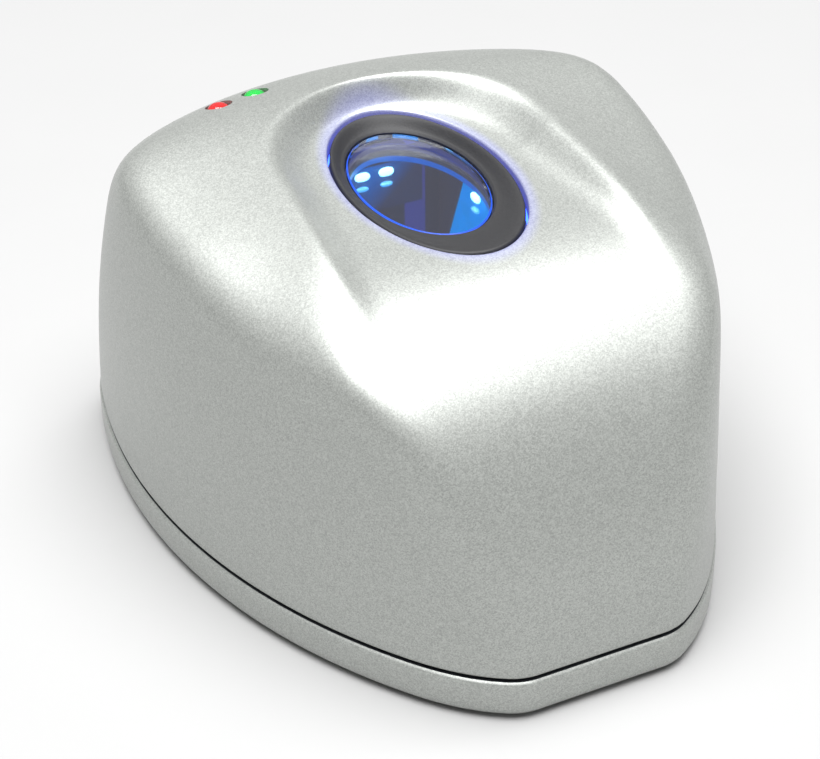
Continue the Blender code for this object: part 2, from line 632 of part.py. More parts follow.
def main_board():
    board = box("main_board", (-BOARD_HALF_WIDTH, BOARD_FRONT, BOARD_Z),
                (BOARD_HALF_WIDTH, BOARD_REAR, BOARD_Z + BOARD_T), BOARD)
    for number, place in enumerate(BOARD_SCREWS, 1):
        cut(board, rod(f"board_hole_{number}", place, 1.1, 5, 15, None, 12))
    top = BOARD_Z + BOARD_T + GAP
    for name, (x, y), (wide, deep, tall), look in (
        ("processor_chip", (16, -7), (12, 12, 1.3), CHIP),
        ("memory_chip", (-15.5, -8), (8, 11, 1.2), CHIP),
        ("usb_controller_chip", (11, 29), (7, 7, 1.1), CHIP),
        ("clock_crystal", (17.5, 20), (5, 3.2, 1.2), STEEL),
        ("status_cable_socket", (-18, 24), (9, 3, 2.2), BLACK),
        ("illumination_cable_socket", (0, 24), (10, 3, 2.2), BLACK),
    ):
        box(name, (x - wide / 2, y - deep / 2, top), (x + wide / 2, y + deep / 2, top + tall), look, 0.1)
    can = ((0, top + 6.5), (2.6, top + 6.5), (3.0, top + 6.1), (3.0, top), (0, top))
    turned("power_capacitor", (-10, 33), can, STEEL, 16)


def usb_socket():
    low = BOARD_Z + BOARD_T + GAP
    high, half = low + USB_HEIGHT, USB_WIDTH / 2
    shell = box("usb_socket", (-half, USB_FRONT, low), (half, USB_MOUTH, high), STEEL, 0.5)
    cut(shell, box("usb_cavity", (USB_WALL - half, USB_FRONT + 0.6, low + USB_WALL),
                   (half - USB_WALL, USB_MOUTH + 1, high - USB_WALL), None))
    middle = (low + high) / 2
    box("usb_tongue", (-2.4, USB_FRONT + 0.9, middle - 0.5), (2.4, USB_MOUTH - 1.2, middle + 0.5), BLACK)


def status_lights():
    top = STATUS_BOARD_Z + 1.0
    low, high = STATUS_BOARD
    board = box("status_board", (*low, STATUS_BOARD_Z), (*high, top), BOARD)
    cut(board, rod("status_board_hole", STATUS_POST, 1.1, 40, 46, None, 12))
    x, y = STATUS_POST
    head = ((0, 47.0), (0.8, 46.6), (0.8, 42.2), (1.8, 42.2), (1.8, 41.2), (0, 41.0))
    turned("status_board_screw", (x, y), head, STEEL, 10)
    for (color, (x, y)), look in zip(STATUS.items(), (RED, GREEN)):
        box(f"status_led_{color}", (x - 1, y - 0.8, top + GAP), (x + 1, y + 0.8, top + 1.1), LED)
        crown = float(top_height(x, y)) + STATUS_DOME
        lens = ((0, crown), (0.8, crown - 0.15), (1.3, crown - 0.5), (STATUS_LENS_R, crown - 1.1),
                (STATUS_LENS_R, top + 1.4), (0, top + 1.4))
        turned(f"status_lens_{color}", (x, y), lens, look, 16)


def cables():
    """Flat cables from their sockets on the main board."""
    start = BOARD_Z + BOARD_T + 2 * GAP + 2.4
    back = CHASSIS_REAR + 1.4
    ribbon("illumination_cable",
           ((0, 24, start), (0, 23.4, 16.5), (0, back + 0.6, 21), (0, back, 27), (0, back, 35.0),
            (0, back - 0.35, 37.6), (0, CHASSIS_REAR - 0.3, 38.6), (0, CHASSIS_REAR - 1.4, 38.6)), 7, FILM)
    ribbon("status_cable",
           ((-18, 24, start), (-18, 24.2, 18), (-18, 26.5, 26), (-18, 27.5, 34), (-18, 27.5, 39),
            (-18, 27.5, STATUS_BOARD_Z - 0.4)), 6, FILM)


def main():
    upper_housing()
    base_housing()
    base_hardware()
    window_stack()
    optics_chassis()
    illumination()
    camera()
    main_board()
    usb_socket()
    status_lights()
    cables()


main()
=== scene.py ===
"""Looks of the desktop fingerprint scanner terminal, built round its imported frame.

Lengths are in millimetres until a mesh is made. +X is right, -Y towards the user.
The casing is one smooth form, given by fields that are negative inside it.
"""

import math

import bmesh
import bpy
import numpy as np
from mathutils import Matrix, Vector

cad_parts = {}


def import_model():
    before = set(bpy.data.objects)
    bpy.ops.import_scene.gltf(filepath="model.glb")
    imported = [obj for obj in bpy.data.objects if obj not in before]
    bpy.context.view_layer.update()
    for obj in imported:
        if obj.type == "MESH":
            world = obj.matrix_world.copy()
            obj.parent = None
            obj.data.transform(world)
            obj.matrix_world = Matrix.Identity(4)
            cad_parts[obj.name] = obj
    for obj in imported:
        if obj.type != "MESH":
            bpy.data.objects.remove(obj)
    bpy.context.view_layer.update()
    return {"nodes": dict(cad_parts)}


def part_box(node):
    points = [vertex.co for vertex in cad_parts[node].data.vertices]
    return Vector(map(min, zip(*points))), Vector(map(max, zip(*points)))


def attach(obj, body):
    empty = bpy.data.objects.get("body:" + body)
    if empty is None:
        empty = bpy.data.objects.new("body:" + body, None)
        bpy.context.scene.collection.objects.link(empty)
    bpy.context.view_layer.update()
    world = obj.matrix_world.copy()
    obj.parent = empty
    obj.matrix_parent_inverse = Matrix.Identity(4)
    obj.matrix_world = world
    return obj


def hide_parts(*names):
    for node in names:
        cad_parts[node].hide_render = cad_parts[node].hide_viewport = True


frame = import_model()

MM = 0.001
GAP = 0.3

# Plan outline, one half: front flat, nose arc, cheek arc, side arc, rear arc.
HALF_LENGTH = 49.7
FRONT_FLAT = 8.9
NOSE_R = 7.7
NOSE_TURN = math.radians(30.8)
CHEEK_R = 31.7
CHEEK_TURN = math.radians(53.3)
SIDE_R = 87.4
REAR_R = 75.6
REAR_CORNER_LOW = 6.0
REAR_CORNER_HIGH = 16.0

# Heights of the casing.
BASE_BOTTOM = 0.6
BASE_TOP = 6.1
PART_Z = 6.6
WALL = 2.2

# Walls lean in as they rise, and more so above UPPER_FROM on the rear half.
SIDE_DRAFT = math.tan(math.radians(1.4))
UPPER_LEAN, UPPER_FROM, UPPER_FADE = 0.0009, 16.0, 30.0
REAR_DRAFT = 0.30
FLANK_LEAN = 0.03
FLANK_Z, FLANK_RISE, FLANK_BOW = 42.6, 0.57, 0.0035
FLANK_BLEND = 1.5
RIDGE_BLEND = 6.0

# Steep front plane, and the bend plane above it.
FRONT_Y, FRONT_Z, FRONT_SLOPE = -41.4, 34.3, 2.09
BEND_Y, BEND_Z, BEND_SLOPE = -31.1, 44.1, 0.56
BEND_BLEND = 5.5
FRONT_BLEND = 8.0

# Shoulders beside the scoop.
SHOULDER_Z, SHOULDER_RISE, SHOULDER_X = 53.1, 0.08, 20.4
FALL, FALL_TAPER, FALL_CURVE = 0.295, -0.0075, 0.0005
SHOULDER_ROUND = 6.0

# Rear slopes, as height at a distance inside the rear arc, and slope there.
REAR_SLOPES = ((55.0, 29.2, 0.13), (51.3, 16.7, 0.36), (47.6, 12.5, 1.3))
REAR_BLENDS = (3.0, 6.0)
REAR_EDGE_BLEND = 3.0

# Finger scoop.
SCOOP_Z, SCOOP_RISE = 49.7, 0.047
SCOOP_HALF_WIDTH, SCOOP_FLARE = 14.9, 0.16
SCOOP_REAR, SCOOP_MID = 19.5, 1.0
SCOOP_SIDE_SLOPE, SCOOP_REAR_SLOPE = 0.85, 2.8
SCOOP_SIDE_FOOT, SCOOP_REAR_FOOT = 3.0, 1.2
SCOOP_EDGE_BLEND = 2.2

# Window stack. The glass sits further back than the bezel round it, by GLASS_SHIFT.
WINDOW_Y, WINDOW_Z = -0.05, 49.7
WINDOW_PITCH = math.radians(2.7)
GLASS_SHIFT = 2.2
SEAT = (11.4, 18.8)
RING_OUTER, RING_INNER = (12.7, 20.1), (11.4, 18.8)
RING_TOP, RING_BOTTOM = -2.75, -3.6
BEZEL_OUTER, BEZEL_CREST, BEZEL_LIP = (11.05, 18.45), (10.7, 18.1), (9.05, 13.9)
CREST_LIFT = -0.3
BEZEL_INNER, BEZEL_REBATE = (8.75, 13.6), (9.4, 14.25)
BEZEL_BOTTOM, REBATE_TOP, LIP_LIFT = -3.5, -2.4, -1.6
GLASS_SIZE = (8.5, 13.35)
GLASS_TOP, GLASS_BOTTOM = -1.9, -3.75

# Optics chassis and its lights.
CHASSIS_X, CHASSIS_FRONT, CHASSIS_REAR = 11.6, -14.5, 18.1
CHASSIS_WAIST, CHASSIS_TOP = 18.5, 45.0
CHASSIS_WALL, CHASSIS_LID = 1.5, 0.9
LID_OPENING = (8.3, 13.2)
COLLAR_BOTTOM = 43.3
REAR_BOARD_FACE = 14.6

# Underside.
BOARD_Z, BOARD_T = 9.0, 1.6
STANDOFF_R = 2.6
BOARD_SCREWS = ((21, -20), (-21, -20), (21, 36), (-21, 36))
HOUSING_SCREWS = ((21.5, -28.5), (-21.5, -28.5), (31, 24), (-31, 24))
FEET = ((15, -34), (-15, -34), (22, 38), (-22, 38))
FOOT_R = 4.5
BOSS_R = 3.0
PLATE_TOP = 2.8
PILLAR_R, PILLAR_FOOT, STANDOFF_FOOT = 3.9, 1.6, 2.2
SCREW_HOLE_R, COUNTERBORE_R, COUNTERBORE_DEPTH = 1.7, 3.0, 3.6
STANDOFF_BORE_R = 1.1
RECESS_DEPTH = 1.6
LABEL_HALF = (17.5, 12.5)

# Status lights behind the scoop.
STATUS = {"red": (-18.4, 26.3), "green": (-12.7, 27.2)}
STATUS_WELL_R, STATUS_LENS_R = 1.9, 1.6
STATUS_DOME = 0.2
STATUS_BOARD_Z = 42.5

USB_WIDTH, USB_HEIGHT = 7.7, 4.0
USB_SIDE_ROOM, USB_ROOM = 0.9, 0.8

# Painted light in and round the window, given as emission: reach of the painted halo on the casing as a
# ratio of squared distances, the painted light stripe on the chamber's rear wall, and the fade of the
# painted glow beside the rear lights.
HALO_REACH, HALO_DEPTH = 1.34, 5.0
LIGHT_STRIPE_X, LIGHT_STRIPE_HALF = 6.3, 1.6
REAR_LED_X, REAR_LED_Z, PAINTED_GLOW_FADE = -1.5, 43.0, 8.0

# Fineness of the shown surfaces.
AROUND = 360
CORNER_WEIGHT = 20.0
WALL_ROWS, FAN_ROWS, TOP_ROWS = 16, 40, 80
WALL_TOP = 30.0
INNER_SCALE = 0.72
OVAL = 240


# ---------------------------------------------------------------- fields

def union_blend(a, b, radius):
    """Larger of two fields, rounded where they meet."""
    near = np.maximum(radius - abs(a - b), 0) / radius
    return np.maximum(a, b) + near ** 3 * radius / 6


def lower_blend(a, b, radius):
    """Smaller of two fields, rounded where they meet."""
    return -union_blend(-a, -b, radius)


def plan_arcs():
    """Centres and start points of the nose, cheek and side arcs on the right half."""
    nose = (FRONT_FLAT, -HALF_LENGTH + NOSE_R)
    first = (nose[0] + NOSE_R * math.sin(NOSE_TURN), nose[1] - NOSE_R * math.cos(NOSE_TURN))
    cheek = (first[0] - CHEEK_R * math.sin(NOSE_TURN), first[1] + CHEEK_R * math.cos(NOSE_TURN))
    second = (cheek[0] + CHEEK_R * math.sin(CHEEK_TURN), cheek[1] - CHEEK_R * math.cos(CHEEK_TURN))
    side = (second[0] - SIDE_R * math.sin(CHEEK_TURN), second[1] + SIDE_R * math.cos(CHEEK_TURN))
    return nose, first, cheek, second, side


NOSE, NOSE_END, CHEEK, CHEEK_END, SIDE = plan_arcs()


def front_and_sides(ax, y):
    """Signed distance outside the front flat, nose, cheek and side arcs."""
    def before(point, turn):
        return (ax - point[0]) * math.cos(turn) + (y - point[1]) * math.sin(turn) < 0

    nose = np.hypot(ax - NOSE[0], y - NOSE[1]) - NOSE_R
    cheek = np.hypot(ax - CHEEK[0], y - CHEEK[1]) - CHEEK_R
    side = np.hypot(ax - SIDE[0], y - SIDE[1]) - SIDE_R
    found = np.where(before(CHEEK_END, CHEEK_TURN), cheek, side)
    found = np.where(before(NOSE_END, NOSE_TURN), nose, found)
    return np.where(ax < FRONT_FLAT, -HALF_LENGTH - y, found)


def inside_rear(x, y):
    """Distance inside the rear arc."""
    return REAR_R - np.hypot(x, y - HALF_LENGTH + REAR_R)


def walls(x, y, z):
    """Field of the upright walls."""
    ax = np.sqrt(x * x + 1e-4)
    rise = z - PART_Z
    corner = REAR_CORNER_LOW + (REAR_CORNER_HIGH - REAR_CORNER_LOW) * np.clip(rise / 45, 0, 1) ** 2
    rearward = np.clip(y / UPPER_FADE + 1, 0, 1)
    lean = SIDE_DRAFT * rise + UPPER_LEAN * np.maximum(rise - UPPER_FROM, 0) ** 2 * rearward
    upright = front_and_sides(ax, y) + lean
    upright = union_blend(upright, REAR_DRAFT * rise - inside_rear(x, y), corner)
    flank_z = FLANK_Z + FLANK_RISE * y - FLANK_BOW * y * y
    flank = np.hypot(ax - SIDE[0], y - SIDE[1]) - SIDE_R + FLANK_LEAN * (z - flank_z)
    return union_blend(upright, flank + lean, FLANK_BLEND)


def scoop_bowl(ax, y):
    """Height of the scoop's walls above its floor."""
    half_width = SCOOP_HALF_WIDTH + np.maximum(1 - y, 0) * SCOOP_FLARE
    across = ax / half_width
    behind = np.maximum(y - SCOOP_MID, 0)
    along = behind / (SCOOP_REAR - SCOOP_MID)
    ratio = np.sqrt(across ** 2 + along ** 2 + 1e-6)
    outside = (ratio - 1) * np.hypot(ax, behind) / ratio
    rearward = (along / ratio) ** 3
    slope = SCOOP_SIDE_SLOPE + (SCOOP_REAR_SLOPE - SCOOP_SIDE_SLOPE) * rearward
    foot = SCOOP_SIDE_FOOT + (SCOOP_REAR_FOOT - SCOOP_SIDE_FOOT) * rearward
    return slope * union_blend(outside, 0 * outside, foot)


def top_height(x, y):
    """Height of the upper surface: shoulders, rear slope, front bend and scoop."""
    ax = np.sqrt(x * x + 1e-4)
    bend = BEND_Z + BEND_SLOPE * (y - BEND_Y)
    fall = FALL + FALL_TAPER * y + FALL_CURVE * np.minimum(y, 0) ** 2
    shoulder = SHOULDER_Z + SHOULDER_RISE * y - fall * (np.hypot(ax, SHOULDER_ROUND) - SHOULDER_X)
    depth = inside_rear(x, y)
    slopes = [z - slope * (at - depth) for z, at, slope in REAR_SLOPES]
    rear = lower_blend(lower_blend(slopes[0], slopes[1], REAR_BLENDS[0]), slopes[2], REAR_BLENDS[1])
    crown = lower_blend(shoulder, rear, REAR_EDGE_BLEND)
    scoop = SCOOP_Z + SCOOP_RISE * y + scoop_bowl(ax, y)
    return lower_blend(lower_blend(crown, scoop, SCOOP_EDGE_BLEND), bend, BEND_BLEND)


def casing(x, y, z):
    """Field of the whole casing above the parting line."""
    lean = (z - FRONT_Z - FRONT_SLOPE * (y - FRONT_Y)) / math.hypot(1, FRONT_SLOPE)
    top = union_blend((z - top_height(x, y)) * 0.88, lean, FRONT_BLEND)
    return union_blend(top, walls(x, y, z), RIDGE_BLEND)


def surface_along(field, start, direction, reach=90.0, steps=60):
    """Where rays that start inside a field leave it."""
    def at(t):
        return field(*(start + direction * t[:, None]).T)

    t = np.zeros(len(start))
    found = np.zeros(len(start), bool)
    step = reach / steps
    for _ in range(steps):
        found |= at(t + step) > 0
        t = np.where(found, t, t + step)
    low, high = t, t + step
    for _ in range(18):
        middle = (low + high) / 2
        outside = at(middle) > 0
        high = np.where(outside, middle, high)
        low = np.where(outside, low, middle)
    return start + direction * ((low + high) / 2)[:, None]


def plan_directions(count):
    """Unit directions from the middle, closer together where the outline turns."""
    angle = np.linspace(-math.pi / 2, math.pi * 1.5, 1441)
    rays = np.column_stack([np.cos(angle), np.sin(angle), 0 * angle])
    start = np.zeros_like(rays) + (0, 0, PART_Z)
    points = surface_along(walls, start, rays)
    step = np.diff(points[:, :2], axis=0)
    heading = np.unwrap(np.arctan2(step[:, 1], step[:, 0]))
    turning = abs(np.gradient(heading))
    weight = np.hypot(*step.T) + CORNER_WEIGHT * turning
    run = np.concatenate([[0], np.cumsum(weight)])
    chosen = np.interp(np.arange(count) * run[-1] / count, run, angle)
    return np.column_stack([np.cos(chosen), np.sin(chosen), 0 * chosen])


DIRECTIONS = plan_directions(AROUND)


def plan_ring(inset, z):
    """The plan outline, moved inwards by inset, at height z."""
    def field(x, y, _):
        return walls(x, y, PART_Z + 0 * x) + inset

    ring = surface_along(field, np.zeros_like(DIRECTIONS), DIRECTIONS)
    ring[:, 2] = z
    return ring


def ellipse_ring(size, lift, count=OVAL, shift=0.0):
    """An oval in the window's plane, lifted along its normal and shifted back."""
    angle = np.arange(count) * 2 * math.pi / count - math.pi / 2
    along = size[1] * np.sin(angle) + shift
    return np.column_stack([
        size[0] * np.cos(angle),
        WINDOW_Y + along * math.cos(WINDOW_PITCH) - lift * math.sin(WINDOW_PITCH),
        WINDOW_Z + along * math.sin(WINDOW_PITCH) + lift * math.cos(WINDOW_PITCH),
    ])


def seat_ring(outline, grow):
    """Plan points on the window seat, one for each direction of the outline."""
    turn = np.arctan2(outline[:, 1] / HALF_LENGTH, outline[:, 0] / outline[:, 0].max())
    return np.column_stack([(SEAT[0] + grow) * np.cos(turn),
                            WINDOW_Y + (SEAT[1] + grow) * np.sin(turn), 0 * turn])


def skin_rows(depth, wall_rows, fan_rows, top_rows):
    """Rows of points on the skin at a depth inside the casing, lower edge to seat."""
    def field(x, y, z):
        return casing(x, y, z) + depth

    outline = plan_ring(0, PART_Z)
    inner = outline * (INNER_SCALE, INNER_SCALE, 0)
    rows = []
    for z in np.linspace(PART_Z + 0.5, WALL_TOP, wall_rows, endpoint=False):
        rows.append(surface_along(field, inner + (0, 0, z), DIRECTIONS))
    for turn in np.linspace(0, math.pi / 2, fan_rows, endpoint=False):
        rays = DIRECTIONS * math.cos(turn) + np.array((0, 0, math.sin(turn)))
        rows.append(surface_along(field, inner + (0, 0, WALL_TOP), rays))
    seat = seat_ring(outline, 0.35)
    up = np.zeros_like(DIRECTIONS) + (0, 0, 1)
    for part in np.linspace(0, 1, top_rows):
        start = inner * (1 - part) + seat * part + (0, 0, WALL_TOP)
        rows.append(surface_along(field, start, up))
    return rows


# ---------------------------------------------------------------- materials

def material(name, color, roughness, metallic=0.0, vary=0.08, scale=900.0, grain=0.15, **inputs):
    """A Principled finish whose colour, roughness and relief follow fine noise."""
    made = bpy.data.materials.new(name)
    made.use_nodes = True
    nodes, links = made.node_tree.nodes, made.node_tree.links
    shader = nodes["Principled BSDF"]
    shader.inputs["Metallic"].default_value = metallic
    for key, value in inputs.items():
        shader.inputs[key.replace("_", " ")].default_value = value
    place = nodes.new("ShaderNodeTexCoord")
    noise = nodes.new("ShaderNodeTexNoise")
    noise.inputs["Scale"].default_value = scale
    noise.inputs["Detail"].default_value = 3
    links.new(place.outputs["Object"], noise.inputs["Vector"])
    tint = nodes.new("ShaderNodeValToRGB")
    tint.color_ramp.elements[0].position = 0.3
    tint.color_ramp.elements[1].position = 0.7
    tint.color_ramp.elements[0].color = (*[c * (1 - vary) for c in color], 1)
    tint.color_ramp.elements[1].color = (*[min(c * (1 + vary), 1) for c in color], 1)
    links.new(noise.outputs["Fac"], tint.inputs["Fac"])
    links.new(tint.outputs["Color"], shader.inputs["Base Color"])
    rough = nodes.new("ShaderNodeMapRange")
    rough.inputs["To Min"].default_value = max(roughness - 0.06, 0.02)
    rough.inputs["To Max"].default_value = roughness + 0.06
    links.new(noise.outputs["Fac"], rough.inputs["Value"])
    links.new(rough.outputs["Result"], shader.inputs["Roughness"])
    if grain:
        bump = nodes.new("ShaderNodeBump")
        bump.inputs["Strength"].default_value = grain
        bump.inputs["Distance"].default_value = 0.1 * MM
        links.new(noise.outputs["Fac"], bump.inputs["Height"])
        links.new(bump.outputs["Normal"], shader.inputs["Normal"])
    return made


def glowing(made, color, strength):
    """Gives a finish an even light of its own."""
    shader = made.node_tree.nodes["Principled BSDF"]
    shader.inputs["Emission Color"].default_value = (*color, 1)
    shader.inputs["Emission Strength"].default_value = strength
    return made


def flaked(made, scale, size):
    """Adds small bright and dark metal flakes to a finish's colour."""
    nodes, links = made.node_tree.nodes, made.node_tree.links
    shader = nodes["Principled BSDF"]
    before = shader.inputs["Base Color"].links[0].from_socket
    cells = nodes.new("ShaderNodeTexVoronoi")
    cells.inputs["Scale"].default_value = scale
    links.new(nodes["Texture Coordinate"].outputs["Object"], cells.inputs["Vector"])
    spread = nodes.new("ShaderNodeMapRange")
    spread.inputs["To Min"].default_value = 1 - size
    spread.inputs["To Max"].default_value = 1 + size
    parted = nodes.new("ShaderNodeSeparateColor")
    links.new(cells.outputs["Color"], parted.inputs["Color"])
    links.new(parted.outputs["Red"], spread.inputs["Value"])
    mix = nodes.new("ShaderNodeVectorMath")
    mix.operation = "MULTIPLY"
    links.new(before, mix.inputs[0])
    links.new(spread.outputs["Result"], mix.inputs[1])
    links.new(mix.outputs["Vector"], shader.inputs["Base Color"])
    return made


def calculate(nodes, links, operation, *values):
    """A Math node fed with sockets and numbers; its output socket."""
    made = nodes.new("ShaderNodeMath")
    made.operation = operation
    for number, value in enumerate(values):
        if isinstance(value, (int, float)):
            made.inputs[number].default_value = value
        else:
            links.new(value, made.inputs[number])
    return made.outputs["Value"]


def paint_light_where(made, place_factor, color, strength):
    """Paints light onto part of a surface as emission; no lamp casts it. place_factor gives its share at a
    place.
    """
    nodes, links = made.node_tree.nodes, made.node_tree.links
    shader = nodes["Principled BSDF"]
    parted = nodes.new("ShaderNodeSeparateXYZ")
    links.new(nodes["Texture Coordinate"].outputs["Object"], parted.inputs["Vector"])
    share = place_factor(nodes, links, *[parted.outputs[axis] for axis in "XYZ"])
    mix = nodes.new("ShaderNodeMix")
    mix.data_type = "RGBA"
    mix.inputs["A"].default_value = shader.inputs["Emission Color"].default_value
    if shader.inputs["Emission Strength"].default_value == 0:
        mix.inputs["A"].default_value = (0, 0, 0, 1)
    mix.inputs["B"].default_value = (*color, 1)
    links.new(share, mix.inputs["Factor"])
    links.new(mix.outputs["Result"], shader.inputs["Emission Color"])
    shader.inputs["Emission Strength"].default_value = strength
    return made


def painted_halo_share(nodes, links, x, y, z):
    """Share of the painted blue halo: 1 at the window seat, falling to 0 a little way outside it."""
    across = calculate(nodes, links, "DIVIDE", x, SEAT[0] * MM)
    along = calculate(nodes, links, "DIVIDE", y, SEAT[1] * MM)
    squares = [calculate(nodes, links, "MULTIPLY", way, way) for way in (across, along)]
    ratio = calculate(nodes, links, "ADD", *squares)
    fall = nodes.new("ShaderNodeMapRange")
    fall.interpolation_type = "SMOOTHERSTEP"
    fall.inputs["From Min"].default_value = 1.0
    fall.inputs["From Max"].default_value = HALO_REACH
    fall.inputs["To Min"].default_value = 1.0
    fall.inputs["To Max"].default_value = 0.0
    links.new(ratio, fall.inputs["Value"])
    high = calculate(nodes, links, "GREATER_THAN", z, (WINDOW_Z - HALO_DEPTH) * MM)
    return calculate(nodes, links, "MULTIPLY", fall.outputs["Result"], high)


def painted_light_stripe(nodes, links, x, y, z):
    """Share of the painted light stripe: 1 on an upright stripe of the chamber's rear wall, right of its
    board.
    """
    stripe = calculate(nodes, links, "COMPARE", x, LIGHT_STRIPE_X * MM, LIGHT_STRIPE_HALF * MM)
    rear = calculate(nodes, links, "GREATER_THAN", y, (REAR_BOARD_FACE + 1) * MM)
    return calculate(nodes, links, "MULTIPLY", stripe, rear)


def painted_led_glow_share(nodes, links, x, y, z):
    """Share of the rear board's painted glow: falls off from the rear lights, sideways and down."""
    across = calculate(nodes, links, "ABSOLUTE", calculate(nodes, links, "SUBTRACT", x, REAR_LED_X * MM))
    down = calculate(nodes, links, "SUBTRACT", REAR_LED_Z * MM, z)
    away = calculate(nodes, links, "ADD", across, down)
    fall = nodes.new("ShaderNodeMapRange")
    fall.inputs["From Max"].default_value = PAINTED_GLOW_FADE * MM
    fall.inputs["To Min"].default_value = 1.0
    fall.inputs["To Max"].default_value = 0.0
    links.new(away, fall.inputs["Value"])
    return fall.outputs["Result"]


SILVER = flaked(material("silver_paint", (0.39, 0.405, 0.385), 0.42, 0.5, vary=0.02, scale=2500,
                         grain=0.05, Coat_Weight=0.15, Coat_Roughness=0.25), 7000, 0.2)
# The casing's copy of the silver paint has a painted blue halo round the window, given as emission in
# place of light from the ring.
SILVER_WITH_PAINTED_HALO = SILVER.copy()
SILVER_WITH_PAINTED_HALO.name = "silver_paint_with_painted_halo"
paint_light_where(SILVER_WITH_PAINTED_HALO, painted_halo_share, (0.05, 0.06, 0.75), 0.4)
BLACK = material("black_plastic", (0.022, 0.024, 0.03), 0.5, scale=1600, grain=0.35)
BEZEL = material("bezel_plastic", (0.021, 0.021, 0.023), 0.6, scale=4000, grain=0.3, vary=0.25)
# The chamber's dark plastic has an even painted glow standing in for the blue lights' light inside it, and
# a brighter painted light stripe on its rear wall.
CHAMBER_PAINTED_GLOW = glowing(material("chamber_plastic_painted_glow", (0.03, 0.03, 0.04), 0.6, scale=1200, grain=0.3),
                  (0.055, 0.055, 0.075), 1.0)
paint_light_where(CHAMBER_PAINTED_GLOW, painted_light_stripe, (0.06, 0.065, 0.24), 1.0)
# The dark rear board has a dim painted glow all over, brighter beside its lights, standing in for their
# light.
REAR_BOARD = glowing(material("rear_board_painted_glow", (0.01, 0.02, 0.04), 0.5, scale=700, vary=0.3),
                     (0.055, 0.055, 0.09), 1.0)
paint_light_where(REAR_BOARD, painted_led_glow_share, (0.01, 0.13, 0.55), 1.0)
RIM_GLOW = glowing(material("lit_rim", (0.02, 0.05, 0.4), 0.3, scale=500), (0.01, 0.12, 0.8), 0.7)
COLLAR_GLOW = glowing(material("lit_collar", (0.02, 0.06, 0.2), 0.4, scale=500), (0.02, 0.13, 0.6), 0.8)
RING_GLOW = glowing(material("light_guide", (0.02, 0.1, 0.6), 0.3, scale=500), (0.03, 0.1, 1.0), 6.0)
GLASS = material("platen_glass", (0.93, 0.96, 1.0), 0.03, scale=60, vary=0.01, grain=0,
                 Transmission_Weight=1.0, IOR=1.45)
RUBBER = material("black_rubber", (0.02, 0.02, 0.02), 0.75, scale=2500, grain=0.5)
BOARD = material("circuit_board", (0.02, 0.14, 0.06), 0.45, scale=700, vary=0.3)
CHIP = material("chip_resin", (0.015, 0.015, 0.017), 0.5, scale=3000, grain=0.3)
SOCKET = material("connector_plastic", (0.03, 0.03, 0.032), 0.45, scale=2000, grain=0.2)
TIN = material("tinned_metal", (0.66, 0.66, 0.64), 0.3, 1.0, scale=900)
ZINC = material("zinc_steel", (0.62, 0.62, 0.6), 0.3, 1.0, scale=1200, grain=0.25)
PLATE = material("ballast_steel", (0.4, 0.4, 0.4), 0.45, 1.0, scale=300, grain=0.3, vary=0.2)
LED = glowing(material("lit_led", (0.6, 0.8, 1.0), 0.2, scale=800), (0.35, 0.9, 1.0), 2.5)
DIM_LED = glowing(material("dim_led", (0.3, 0.6, 0.9), 0.2, scale=800), (0.05, 0.45, 0.9), 0.9)
# The side light boards are blue, with a painted glow standing in for their lights' light.
SIDE_BOARD_PAINTED_GLOW = glowing(material("lit_board", (0.0, 0.2, 0.5), 0.35, scale=300, vary=0.25), (0.0, 0.2, 0.6), 1.0)
RED = material("red_lens", (0.55, 0.02, 0.02), 0.12, scale=600, Coat_Weight=0.6, Subsurface_Weight=0.2)
GREEN = material("green_lens", (0.02, 0.42, 0.06), 0.12, scale=600, Coat_Weight=0.6, Subsurface_Weight=0.2)
FILM = material("cable_film", (0.6, 0.42, 0.2), 0.35, scale=500, vary=0.15)
LABEL = material("label_film", (0.7, 0.71, 0.7), 0.45, scale=800)
FLOOR = material("pale_floor", (0.415, 0.415, 0.415), 0.8, scale=40, vary=0.004, grain=0.0)


# ---------------------------------------------------------------- mesh makers

def show(name, mesh, looks, node=None, slot=None, smooth=35):
    """Puts a finished piece in the scene, riding on the body, in place of its CAD node."""
    made = bpy.data.objects.new(name, mesh)
    bpy.context.scene.collection.objects.link(made)
    for look in looks if isinstance(looks, tuple) else (looks,):
        mesh.materials.append(look)
    mesh.shade_smooth()
    mesh.set_sharp_from_angle(angle=math.radians(smooth))
    if node:
        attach(made, "root")
        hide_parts(node)
    return made


def loft_mesh(name, rings, closed=False, caps=True, second=()):
    """Quads between rings of equal length. The bands named in second take the second look."""
    mesh = bpy.data.meshes.new(name)
    bm = bmesh.new()
    loops = [[bm.verts.new(Vector(point) * MM) for point in ring] for ring in rings]
    pairs = list(zip(loops, loops[1:] + loops[:1] if closed else loops[1:]))
    for band, (low, high) in enumerate(pairs):
        for i in range(len(low)):
            j = (i + 1) % len(low)
            face = bm.faces.new((low[i], low[j], high[j], high[i]))
            face.material_index = int(band in second)
    if caps and not closed:
        bm.faces.new(loops[0])
        bm.faces.new(loops[-1])
    bmesh.ops.recalc_face_normals(bm, faces=bm.faces)
    bm.to_mesh(mesh)
    bm.free()
    return mesh


def turned_mesh(name, place, profile, steps=64):
    """A solid of revolution. Its (radius, height) points end on the axis or close up."""
    rings = []
    angle = np.arange(steps) * 2 * math.pi / steps
    for radius, z in profile:
        radius = max(radius, 0.01)
        rings.append(np.column_stack([place[0] + radius * np.cos(angle), place[1] + radius * np.sin(angle),
                                      np.full(steps, z)]))
    return loft_mesh(name, rings, closed=profile[0][0] > 0)


